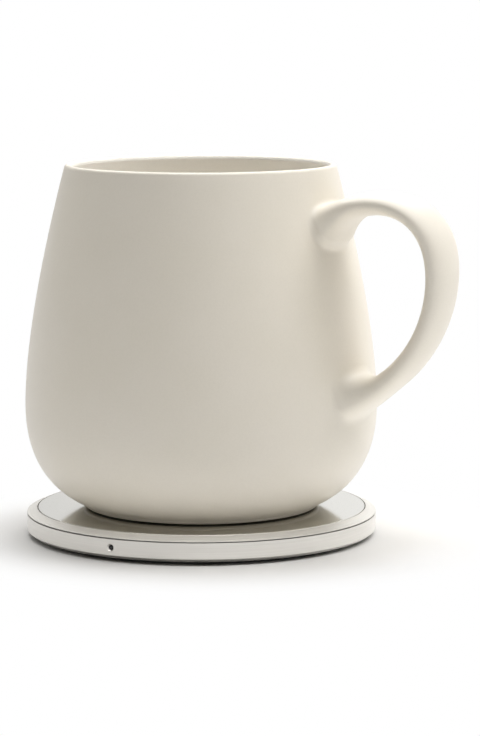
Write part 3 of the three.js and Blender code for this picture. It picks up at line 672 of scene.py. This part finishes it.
class Skin:
    # distances to the mug's outer wall and to its strap, which blend where they meet

    def __init__(self, m, h, bellyRadius, reach, top):
        self.h = h
        self.outer = evened(outerWall(m, bellyRadius, top), m["skinSteps"])
        self.line = strapLine(h, self.outer, reach)
        self.travel = alongLine(self.line)
        way = np.gradient(self.line, axis=0)
        self.way = way / np.linalg.norm(way, axis=1, keepdims=True)
        self.side = np.stack([-self.way[:, 1], self.way[:, 0]], 1)
        wall = np.gradient(self.outer, axis=0)
        wall /= np.linalg.norm(wall, axis=1, keepdims=True)
        self.wallSide = np.stack([wall[:, 1], -wall[:, 0]], 1)
        share = self.travel / self.travel[-1]
        blur = h["widthBlur"]
        padded = np.pad(np.interp(share, h["widthPlaces"], h["widths"]), blur, mode="edge")
        smooth = np.convolve(padded, np.ones(2 * blur + 1) / (2 * blur + 1), "valid")
        gap = self.wallDistance(self.line[:, 0], self.line[:, 1])

        def flared(face):
            pairs = zip(h["topFlare"][face], h["lowFlare"][face])
            amount, length, ease = [np.where(share < 0.5, *pair) for pair in pairs]
            return amount * np.clip(1 - gap / length, 0, 1) ** ease

        self.halfWidth = smooth / 2 + flared("side")
        self.high = h["thick"] / 2 + flared("outer")
        self.low = h["thick"] / 2 + flared("inner")
        square = np.clip(1 - gap / h["squareLength"], 0, 1)
        self.power = h["roundness"] + (h["rootRoundness"] - h["roundness"]) * square

    def wallDistance(self, radius, height):
        gaps = (radius[:, None] - self.outer[:, 0]) ** 2 + (height[:, None] - self.outer[:, 1]) ** 2
        near = gaps.argmin(1)
        step = np.stack([radius, height], 1) - self.outer[near]
        return np.einsum("ij,ij->i", step, self.wallSide[near])

    def strapDistance(self, points):
        flat = points[:, [0, 2]]
        gaps = (flat[:, None, 0] - self.line[:, 0]) ** 2 + (flat[:, None, 1] - self.line[:, 1]) ** 2
        near = gaps.argmin(1)
        step = flat - self.line[near]
        up = np.einsum("ij,ij->i", step, self.side[near])
        at = self.travel[near] + np.einsum("ij,ij->i", step, self.way[near])
        past = np.maximum(at - self.travel[-1], 0) + np.maximum(-at, 0)
        half = np.interp(at, self.travel, (self.high + self.low) / 2)
        middle = np.interp(at, self.travel, (self.high - self.low) / 2)
        width = np.interp(at, self.travel, self.halfWidth)
        # the oval's own measure, 1 on its rim, turned into a distance by its slope
        power = np.interp(at, self.travel, self.power)
        a = np.abs(up - middle) / half
        b = np.abs(points[:, 1]) / width
        rim = np.maximum((a ** power + b ** power) ** (1 / power), 1e-6)
        slopeUp = (a / rim) ** (power - 1) / half
        slopeSide = (b / rim) ** (power - 1) / width
        slope = np.hypot(slopeUp, slopeSide)
        upright = (slopeUp / slope) ** 2
        top, low = self.h["topFillet"], self.h["lowFillet"]
        outer, inner, side = (
            np.where(at < self.travel[-1] / 2, top[face], low[face]) for face in ("outer", "inner", "side")
        )
        fillet = upright * np.where(up > middle, outer, inner) + (1 - upright) * side
        return (rim - 1) / slope + past, fillet

    def value(self, points):
        wall = self.wallDistance(np.hypot(points[:, 0], points[:, 1]), points[:, 2])
        strap, reach = self.strapDistance(points)
        near = np.maximum(reach - np.abs(wall - strap), 0) / reach
        return np.minimum(wall, strap) - near ** 2 * reach / 4

    def pulled(self, points, rounds=6, small=0.02, leastSlope=0.05):
        # moves points onto the blended skin
        points = points.copy()
        for _ in range(rounds):
            slope = np.empty_like(points)
            for axis in range(3):
                step = np.zeros(3)
                step[axis] = small
                slope[:, axis] = (self.value(points + step) - self.value(points - step)) / (2 * small)
            size = np.maximum((slope ** 2).sum(1), leastSlope)
            points -= (self.value(points) / size)[:, None] * slope
        return points

    def section(self, at):
        # one loop of points round the strap, from its inner face's -Y corner
        h = self.h
        x = np.interp(at, self.travel, self.line[:, 0])
        z = np.interp(at, self.travel, self.line[:, 1])
        side = np.array([np.interp(at, self.travel, self.side[:, i]) for i in range(2)])
        side /= np.linalg.norm(side)
        high = np.interp(at, self.travel, self.high)
        low = np.interp(at, self.travel, self.low)
        width = np.interp(at, self.travel, self.halfWidth)
        power = np.interp(at, self.travel, self.power)
        loop = []
        for turn, steps in enumerate((h["faceSteps"], h["edgeSteps"], h["faceSteps"], h["edgeSteps"])):
            angles = np.radians(np.linspace(-135, -45, 91) + 90 * turn)
            across = np.sign(np.cos(angles)) * np.abs(np.cos(angles)) ** (2 / power)
            over = np.sign(np.sin(angles)) * np.abs(np.sin(angles)) ** (2 / power)
            up = (high - low) / 2 + over * (high + low) / 2
            stretch = np.column_stack([x + side[0] * up, across * width, z + side[1] * up])
            loop.append(evened(stretch, steps)[:-1])
        return np.vstack(loop)


def rootStrip(skin, border, loops):
    # mesh rings from a border on the body, over the fillet, to the strap's first loop
    h = skin.h
    radial = np.stack([np.hypot(loop[:, 0], loop[:, 1]) for loop in loops])
    gaps = np.stack([skin.wallDistance(radial[i], loop[:, 2]) for i, loop in enumerate(loops)])
    crease = np.empty_like(border)
    for k in range(len(border)):
        order = np.argsort(gaps[:, k])
        for axis in range(3):
            crease[k, axis] = np.interp(0.0, gaps[order, k], np.array([loops[i][k, axis] for i in order]))
    last = loops[int(np.argmax(gaps.min(1)))]
    rings = []
    for i in range(1, h["rootSteps"]):
        s = i / h["rootSteps"]
        rings.append((1 - s) ** 2 * border + 2 * s * (1 - s) * crease + s ** 2 * last)
    rings = np.stack(rings)
    relax = h["relaxShare"]
    for _ in range(h["relaxRounds"]):
        rings = skin.pulled(rings.reshape(-1, 3), 3).reshape(rings.shape)
        whole = np.concatenate([border[None], rings, last[None]])
        around = (np.roll(whole, 1, 1) + np.roll(whole, -1, 1))[1:-1]
        across = whole[:-2] + whole[2:]
        rings = (1 - relax) * rings + relax * (around + across) / 4
    return skin.pulled(rings.reshape(-1, 3), 6).reshape(rings.shape)


def mugSkin(m, h):
    base = level("foot_ring")[0] / mm
    top = level("mug_body")[1] / mm - base
    bellyRadius = -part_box("mug_body")[0].x / mm
    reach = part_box("mug_body")[1].x / mm
    skin = Skin(m, h, bellyRadius, reach, top)
    crest = lipPoints(m, top)[0]
    wall = evened(outerWall(m, bellyRadius, top), m["wallRows"])
    cup = evened(innerWall(m, bellyRadius, top), m["cupRows"])
    lean = math.radians(m["lipLean"])
    turns = np.linspace(lean, lean + math.pi, m["lipRows"] + 2)[1:-1]
    lip = [crest + m["lipThick"] / 2 * np.array([math.cos(a), math.sin(a)]) for a in turns]
    foot = m["footLift"]
    groove = foot + m["grooveDeep"]
    recessTop = m["cupFloor"] - m["floorThick"]
    e = m["edge"]
    under = softOutline([
        (0, recessTop, 0),
        (m["recessRadius"], recessTop, m["recessRound"]),
        (m["recessRadius"], foot, e),
        (m["grooveIn"], foot, e),
        (m["grooveIn"], groove, e),
        (m["grooveOut"], groove, e),
        (m["grooveOut"], foot, 0),
        (m["footRadius"] - m["footDraft"], foot, m["footRound"]),
        (m["footRadius"], m["footTall"], e),
        (*wall[2], 0),
    ], m["edgeSteps"])[1:-1]
    rows = [*under, *wall[1:], *lip, *cup[::-1]]
    wallStart = len(under) - 1  # the row that the wall's first, unused point would have
    segments = m["segments"]
    angles = np.arange(segments) * 2 * math.pi / segments
    grid = np.array([[(r * math.cos(a), r * math.sin(a), z) for a in angles] for r, z in rows])
    points = [grid.reshape(-1, 3)]
    flatCount = len(rows) * segments
    points.append(np.array([(0, 0, recessTop), (0, 0, m["cupFloor"])]))
    # 1 inside the cup, where the colour is painted lighter for the light in it, 0 outside, with the change on
    # the lip
    lipStart = len(rows) - len(cup) - len(lip)
    cupLightShare = np.clip((np.arange(len(rows)) - lipStart - len(lip) / 2) / m["cupLightRows"], 0, 1)

    halfCols = h["faceSteps"] // 2
    halfRows = h["edgeSteps"] // 2
    holes = []
    for height in (h["topPatch"], h["lowPatch"]):
        middle = wallStart + int(np.abs(wall[:, 1] - height).argmin())
        holes.append((middle - halfRows, middle + halfRows))

    def index(row, col):
        return row * segments + col % segments

    def border(low, high, downward):
        # the rim of a hole in the wall, in the order of the strap's loop
        cols = list(range(-halfCols, halfCols))
        span = list(range(low, high)) if not downward else list(range(high, low, -1))
        start, end = (high, low) if downward else (low, high)
        rim = [index(start, c) for c in cols]
        rim += [index(r, halfCols) for r in span]
        rim += [index(end, -c) for c in cols]
        rim += [index(r, -halfCols) for r in (reversed([*span[1:], end]))]
        return rim

    faces = []
    for row in range(len(rows) - 1):
        for col in range(segments):
            inHole = any(low <= row < high for low, high in holes)
            if inHole and (col < halfCols or col >= segments - halfCols):
                continue
            faces.append((index(row, col), index(row, col + 1), index(row + 1, col + 1), index(row + 1, col)))
    last = (len(rows) - 1) * segments
    for col in range(segments):
        following = (col + 1) % segments
        faces.append((flatCount, following, col))
        faces.append((flatCount + 1, last + col, last + following))

    # the strap between the places where it is clear of the fillets
    widest = max(*h["topFillet"].values(), *h["lowFillet"].values())
    places = np.linspace(0, skin.travel[-1], h["searchLoops"])
    loops = [skin.section(at) for at in places]
    clear = [
        i for i, loop in enumerate(loops)
        if skin.wallDistance(np.hypot(loop[:, 0], loop[:, 1]), loop[:, 2]).min() > widest + h["rootGap"]
    ]
    firstClear, lastClear = clear[0], clear[-1]
    sections = np.linspace(places[firstClear], places[lastClear], h["strapLoops"])
    strap = np.stack([skin.section(at) for at in sections])
    topRim = border(*holes[0], False)
    bottomRim = border(*holes[1], True)
    topStrip = rootStrip(skin, grid.reshape(-1, 3)[topRim], loops[:firstClear] + [strap[0]])
    bottomStrip = rootStrip(skin, grid.reshape(-1, 3)[bottomRim], loops[lastClear + 1:] + [strap[-1]])
    count = strap.shape[1]
    rings = np.concatenate([topStrip, strap, bottomStrip[::-1]])
    first = flatCount + 2
    points.append(rings.reshape(-1, 3))
    chain = [topRim]
    chain += [[first + i * count + k for k in range(count)] for i in range(len(rings))]
    chain += [bottomRim]
    for a, b in zip(chain, chain[1:]):
        for k in range(count):
            n = (k + 1) % count
            faces.append((a[k], a[n], b[n], b[k]))
    allPoints = np.concatenate(points)
    used = np.zeros(len(allPoints), bool)
    for face in faces:
        used[list(face)] = True
    renumber = np.cumsum(used) - 1
    inside = np.concatenate([np.repeat(cupLightShare, segments), [0, 1], np.zeros(len(allPoints) - flatCount - 2)])
    allPoints = (allPoints[used] + [0, 0, base]) * mm
    piece = newPiece("mug_ceramic", allPoints, [tuple(int(renumber[i]) for i in f) for f in faces])
    piece.data.attributes.new("inside", "FLOAT", "POINT").data.foreach_set("value", inside[used])
    return piece


mug = mugSkin(mugShape, handleShape)
dress(mug, "mug", "ceramic", finish["ceramic"], "mug_body")
print("mug made, points:", len(mug.data.vertices))


# The foot of the mug: its ring and its cover

footParts = {
    "ringGap": 0.4,  # millimetres that the ring is narrower than its groove
    "ringSoft": 0.35 * mm,
    "coverSoft": 0.3 * mm,
}


def footRing(s):
    low, high = level("foot_ring")
    outer = radiusOf("foot_ring")
    inner = outer - (mugShape["grooveOut"] - mugShape["grooveIn"] - s["ringGap"]) * mm
    soft = s["ringSoft"]
    return turnedPiece("foot_silicone_ring", softOutline([
        (inner, low, soft),
        (outer, low, soft),
        (outer, high, soft / 2),
        (inner, high, soft / 2),
    ]))


def baseCover(s):
    low, high = level("base_cover")
    outer = radiusOf("base_cover")
    soft = s["coverSoft"]
    return turnedPiece("foot_cover_disc", softOutline([
        (0, low, 0),
        (outer, low, soft),
        (outer, high, soft),
        (0, high, 0),
    ]))


dress(footRing(footParts), "mug", "foot_silicone", finish["foot"], "foot_ring")
dress(baseCover(footParts), "mug", "cover_plastic", finish["cover"], "base_cover")
print("foot made")


# The pad's casing

padShape = {
    "turnSteps": 360,
    "edgeSteps": 4,
    "edge": 0.12 * mm,  # softness of the metal's edges
    "wallThick": 2.4 * mm,
    "chamferWidth": 1.1 * mm,
    "chamferHeight": 0.9 * mm,
    "rebateWidth": 1.0 * mm,
    "rebateHeight": 0.6 * mm,
    "seam": 0.25 * mm,
    "bezelEdge": 0.15 * mm,  # height of the bezel's upright edge, and of its rounded shoulder
    "shoulder": 0.3 * mm,
    "ledgeWidth": 1.8 * mm,
    "dropGap": 0.2 * mm,  # round what drops into the wall
    "sealGap": 0.1 * mm,
    "panelGap": 0.2 * mm,
    "panelEdge": 0.15 * mm,
    "lensHole": 0.7 * mm,
    "lensBevel": 0.35 * mm,
    "holeSteps": 48,
    "inletGap": 0.2 * mm,
    "inletBevel": 0.25 * mm,
    "inletCorner": 1.4 * mm,
    "overrun": 1.0 * mm,  # how far a cut starts inside the wall's inner face
    "matSoft": 0.2 * mm,
    "matSteps": 256,
}


def padWall(s):
    low, high = level("side_ring")
    outer = radiusOf("side_ring")
    inner = outer - s["wallThick"]
    step = inner + s["rebateWidth"]
    wall = turnedPiece("pad_side_wall", softOutline([
        (inner, low, s["edge"]),
        (outer - s["chamferWidth"], low, s["edge"]),
        (outer, low + s["chamferHeight"], s["edge"] * 1.5),
        (outer, high, s["edge"]),
        (step, high, s["edge"]),
        (step, high - s["rebateHeight"], 0),
        (inner, high - s["rebateHeight"], s["edge"]),
    ], s["edgeSteps"]), s["turnSteps"])
    # the indicator's hole, with a small countersink
    lensLevel = middleOf("light_pipe")

    def holeLoop(y, radius):
        return circleAt(y, lensLevel, radius, s["holeSteps"])

    bevel = s["lensBevel"]
    hole = loftAlongY("lens_hole", [
        holeLoop(-outer - bevel, s["lensHole"] + 2 * bevel),
        holeLoop(-outer + bevel, s["lensHole"]),
        holeLoop(-inner + s["overrun"], s["lensHole"]),
    ])
    cutWith(wall, hole)
    # the charging inlet's opening
    shellLow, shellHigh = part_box("inlet_shell")
    shellLevel = middleOf("inlet_shell")
    width = shellHigh.x - shellLow.x
    height = shellHigh.z - shellLow.z

    def inletLoop(y, grow):
        return rimAt(y, shellLevel, width + 2 * grow, height + 2 * grow, s["inletCorner"] + grow)

    gap = s["inletGap"]
    bevel = s["inletBevel"]
    opening = loftAlongY("inlet_hole", [
        inletLoop(inner - s["overrun"], gap),
        inletLoop(outer - bevel, gap),
        inletLoop(outer + bevel, gap + 2 * bevel),
    ])
    return cutWith(wall, opening)


def padBezel(s):
    low, top = level("top_bezel")
    outer = radiusOf("top_bezel")
    seam = level("side_ring")[1] + s["seam"]
    step = outer - s["wallThick"] + s["rebateWidth"] - s["dropGap"]
    opening = radiusOf("top_panel") + s["panelGap"]
    ledge = level("panel_seal")[0] - s["sealGap"]
    inner = opening - s["ledgeWidth"]
    return turnedPiece("pad_top_bezel", softOutline([
        (inner, low, 0),
        (step, low, 0),
        (step, seam, 0),
        (outer, seam, s["edge"] / 2),
        (outer, seam + s["bezelEdge"], s["edge"]),
        (opening + s["shoulder"], top - s["bezelEdge"], s["edge"]),
        (opening, top, s["edge"] / 2),
        (opening, ledge, 0),
        (inner, ledge, 0),
    ], s["edgeSteps"]), s["turnSteps"])


def padPanel(s):
    low, top = level("top_panel")
    outer = radiusOf("top_panel")
    return turnedPiece("pad_top_disc", softOutline([
        (0, low, 0),
        (outer, low, 0),
        (outer, top, s["panelEdge"]),
        (0, top, 0),
    ], s["edgeSteps"]), s["turnSteps"])


def padMat(s):
    low, top = level("base_mat")
    outer = radiusOf("base_mat")
    return turnedPiece("pad_base_mat", softOutline([
        (0, low, 0),
        (outer, low, s["matSoft"]),
        (outer, top, s["matSoft"]),
        (0, top, 0),
    ], s["edgeSteps"]), s["matSteps"])


dress(padWall(padShape), "pad", "aluminium", finish["wall"], "side_ring")
dress(padBezel(padShape), "pad", "bezel", finish["bezel"], "top_bezel")
dress(padPanel(padShape), "pad", "panel", finish["panel"], "top_panel")
dress(padMat(padShape), "pad", "silicone", finish["silicone"], "base_mat")
print("casing made")


# The indicator's lens and the charging inlet

smallShape = {
    "lensRadius": 0.6 * mm,
    "lensDome": 0.12 * mm,
    "lensFlange": 0.3 * mm,
    "lensNeck": 0.05 * mm,
    "lensSteps": 40,
    "domeSteps": 7,
    "domeFrom": 0.12,  # the dome's first ring, as an angle from its middle
    "shellWall": 0.3 * mm,
    "shellSoft": 0.08 * mm,
    "blockCorner": 1.0 * mm,
    "blockDepth": 1.5 * mm,
    "tongueWidth": 6.7 * mm,
    "tongueThick": 0.7 * mm,
    "tongueCorner": 0.2 * mm,
    "tongueSoft": 0.12 * mm,
    "contacts": 12,
    "contactPitch": 0.5 * mm,
    "contactWidth": 0.25 * mm,
    "contactProud": 0.03 * mm,
    "contactFront": 0.5 * mm,  # from the tongue's tip
    "contactBack": 3.4 * mm,
}


def indicatorLens(s):
    low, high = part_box("light_pipe")
    flangeRadius = (high.z - low.z) / 2
    middle = middleOf("light_pipe")
    stem = s["lensRadius"]
    flange = high.y - s["lensFlange"]

    def loop(y, radius):
        return circleAt(y, middle, radius, s["lensSteps"])

    turns = np.linspace(s["domeFrom"], math.pi / 2, s["domeSteps"])
    return loftAlongY("indicator_lens", [
        *(loop(low.y + s["lensDome"] * (1 - math.cos(a)), stem * math.sin(a)) for a in turns),
        loop(flange - s["lensNeck"], stem),
        loop(flange, flangeRadius),
        loop(high.y, flangeRadius),
    ])


def inletShell(s):
    low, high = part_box("inlet_shell")
    width = high.x - low.x
    height = high.z - low.z
    middle = middleOf("inlet_shell")
    soft = s["shellSoft"]
    wall = s["shellWall"]

    def loop(y, shrink):
        return rimAt(y, middle, width - 2 * shrink, height - 2 * shrink, padShape["inletCorner"] - shrink)

    return loftAlongY("inlet_steel_shell", [
        loop(low.y, 0),
        loop(high.y - soft, 0),
        loop(high.y, soft),
        loop(high.y, wall - soft),
        loop(high.y - soft, wall),
        loop(low.y, wall),
    ], closed=True)


def inletTongue(s):
    low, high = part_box("inlet_tongue")
    middle = middleOf("inlet_tongue")
    soft = s["tongueSoft"]
    front = low.y + s["blockDepth"]

    def block(y):
        return rimAt(y, middle, high.x - low.x, high.z - low.z, s["blockCorner"])

    def blade(y, shrink):
        width = s["tongueWidth"] - 2 * shrink
        return rimAt(y, middle, width, s["tongueThick"] - 2 * shrink, s["tongueCorner"])

    return loftAlongY("inlet_tongue_block", [
        block(low.y),
        block(front),
        blade(front, 0),
        blade(high.y - soft, 0),
        blade(high.y, soft),
    ])


def inletContacts(s):
    # gilt strips on both faces of the tongue
    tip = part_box("inlet_tongue")[1].y
    middle = middleOf("inlet_tongue")
    points = []
    faces = []
    half = s["contactWidth"] / 2
    span = (s["contacts"] - 1) * s["contactPitch"]
    front = tip - s["contactFront"]
    back = tip - s["contactBack"]
    for side in (-1, 1):
        face = middle + side * s["tongueThick"] / 2
        proud = face + side * s["contactProud"]
        sunk = face - side * s["contactProud"]
        for i in range(s["contacts"]):
            x = i * s["contactPitch"] - span / 2
            start = len(points)
            rim = [(x - half, back), (x + half, back), (x + half, front), (x - half, front)]
            points += [(*corner, z) for z in (sunk, proud) for corner in rim]
            faces += [tuple(start + k for k in f) for f in (
                (0, 1, 2, 3), (4, 5, 6, 7), (0, 1, 5, 4), (1, 2, 6, 5), (2, 3, 7, 6), (3, 0, 4, 7),
            )]
    return newPiece("inlet_contacts", points, faces)


dress(indicatorLens(smallShape), "pad", "lens", finish["lens"], "light_pipe")
dress(inletShell(smallShape), "pad", "steel", finish["steel"], "inlet_shell")
dress(inletTongue(smallShape), "pad", "chip", finish["chip"], "inlet_tongue")
dress(inletContacts(smallShape), "pad", "copper", finish["gilt"])
print("indicator and inlet made")


# The hidden pieces keep their frame shapes and get their finishes

def numbered(name, count):
    return [f"{name}_{i}" for i in range(1, count + 1)]


hiddenFinish = {
    "base": ["base_plate"],
    "steel": [*numbered("base_screw", 4), "temperature_sensor", "heat_spreader"],
    "silicone": ["panel_seal", "cover_seal"],
    "plastic": ["coil_tray"],
    "ferrite": ["ferrite_plate", "ferrite_shield", "power_inductor"],
    "copper": ["transmitter_coil", "receiver_coil"],
    "board": ["control_board", "receiver_board"],
    "chip": [*numbered("bridge_transistor", 4), "coil_thermistor", "charge_controller", "rectifier_chip"],
    "lens": ["status_led"],
    "felt": ["insulation_pad"],
    "film": [*numbered("resonant_capacitor", 4), *numbered("smoothing_capacitor", 2), "heater_disc"],
}
for look, names in hiddenFinish.items():
    for name in names:
        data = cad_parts[name].data
        data.materials.clear()
        data.materials.append(finish[look])
print("hidden pieces finished")


# Floor, light and background

studio = {
    "floorSize": 30.0,
    "floorLight": 0.98,  # share of the light that the paper sends back
    "floorShown": (0.7, 0.69, 0.672),  # how the camera sees the paper near the pad, in its shadow; its warm tint is painted, for warm light in that shadow
    "whiteFrom": 0.049,  # from here to there the floor that is seen turns into plain white, painted over the outer part of the pad's shadow
    "whiteAt": 0.084,
    "whiteMiddle": (0.006, 0.0),  # to the right of the pad's middle, and behind it, so the painted white covers more of the shadow on the left
    "fill": 0.05,  # light from all round
    "dimSide": -0.25,  # reflections see a darker studio on the left, from here to there
    "brightSide": 0.08,
    "dimWhite": 0.45,
    "lamps": [
        # name, right, back, up, width, height, power, whether metal and glaze mirror it
        ("topLamp", 0.0, 0.0, 1.3, 1.2, 1.2, 12.6, True),
        ("topBackLamp", 0.0, 0.9, 1.1, 1.4, 0.9, 10.8, True),
        ("topRightLamp", 0.8, 0.0, 1.1, 0.9, 0.9, 11.7, False),
        ("rightBackLamp", 1.1, 0.8, 0.6, 0.8, 0.8, 0.8, False),
        ("leftBackLamp", -1.1, 0.8, 0.6, 0.8, 0.8, 1.2, False),
    ],
    "aimHeight": 0.05,
}


def makeFloor(s):
    half = s["floorSize"] / 2
    mesh = bpy.data.meshes.new("floor")
    corners = [(-half, -half, 0), (half, -half, 0), (half, half, 0), (-half, half, 0)]
    mesh.from_pydata(corners, [], [(0, 1, 2, 3)])
    floor = bpy.data.objects.new("floor", mesh)
    bpy.context.scene.collection.objects.link(floor)
    material, tree, shader = newMaterial("floorPaper")
    tree.nodes.remove(shader)
    light = addNode(tree, "ShaderNodeBsdfDiffuse", {"Color": [s["floorLight"]] * 3 + [1]})
    toned = addNode(tree, "ShaderNodeBsdfDiffuse", {"Color": [*s["floorShown"], 1]})
    cameraRay = addNode(tree, "ShaderNodeLightPath").outputs["Is Camera Ray"]
    paper = mixShaders(tree, cameraRay, light, toned)
    white = addNode(tree, "ShaderNodeEmission")
    # painted light: the seen floor fades into plain white over the outer part of the pad's shadow
    ends = {0: placeNode(tree), 1: aroundTable(*s["whiteMiddle"])}
    away = addNode(tree, "ShaderNodeVectorMath", ends, operation="DISTANCE")
    share = riseNode(tree, away.outputs["Value"], s["whiteFrom"], s["whiteAt"])
    choice = mixShaders(tree, seenDirectly(tree), light, mixShaders(tree, share, paper, white))
    tree.links.new(choice.outputs[0], tree.nodes["Material Output"].inputs["Surface"])
    floor.data.materials.append(material)


def largerNode(tree, first, second):
    return addNode(tree, "ShaderNodeMath", {0: first, 1: second}, operation="MAXIMUM").outputs["Value"]


def seenDirectly(tree):
    # 1 for what the camera, a reflection or clear glass sees, and 0 for soft light
    path = addNode(tree, "ShaderNodeLightPath")
    total = path.outputs["Is Camera Ray"]
    for kind in ("Is Glossy Ray", "Is Transmission Ray"):
        total = largerNode(tree, total, path.outputs[kind])
    return total


def makeWorld(s):
    world = bpy.data.worlds.new("studio")
    bpy.context.scene.world = world
    world.use_nodes = True
    tree = world.node_tree
    plainWhite = (1, 1, 1, 1)
    fill = tree.nodes["Background"]
    feedNode(tree, fill, {"Color": plainWhite, "Strength": s["fill"]})
    # plain white for the camera, dimmer to the left for reflections
    ways = {0: addNode(tree, "ShaderNodeTexCoord").outputs["Generated"], 1: aroundTable(1, 0)}
    right = addNode(tree, "ShaderNodeVectorMath", ways, operation="DOT_PRODUCT")
    dim = riseNode(tree, right.outputs["Value"], s["dimSide"], s["brightSide"], s["dimWhite"])
    cameraRay = addNode(tree, "ShaderNodeLightPath").outputs["Is Camera Ray"]
    strength = largerNode(tree, dim, cameraRay)
    white = addNode(tree, "ShaderNodeBackground", {"Color": plainWhite, "Strength": strength})
    choice = mixShaders(tree, seenDirectly(tree), fill, white)
    tree.links.new(choice.outputs[0], tree.nodes["World Output"].inputs["Surface"])


def makeLamps(s):
    for name, right, back, up, width, height, power, mirrored in s["lamps"]:
        data = bpy.data.lights.new(name, "AREA")
        data.shape = "RECTANGLE"
        data.size = width
        data.size_y = height
        data.energy = power
        lamp = bpy.data.objects.new(name, data)
        bpy.context.scene.collection.objects.link(lamp)
        place = aroundTable(right, back, up)
        aim = Vector((0, 0, s["aimHeight"])) - place
        lamp.matrix_world = Matrix.Translation(place) @ aim.to_track_quat("-Z", "Y").to_matrix().to_4x4()
        lamp.visible_camera = False
        lamp.visible_glossy = mirrored


makeFloor(studio)
makeWorld(studio)
makeLamps(studio)
bpy.context.scene.view_settings.view_transform = "Standard"
print("studio lit")
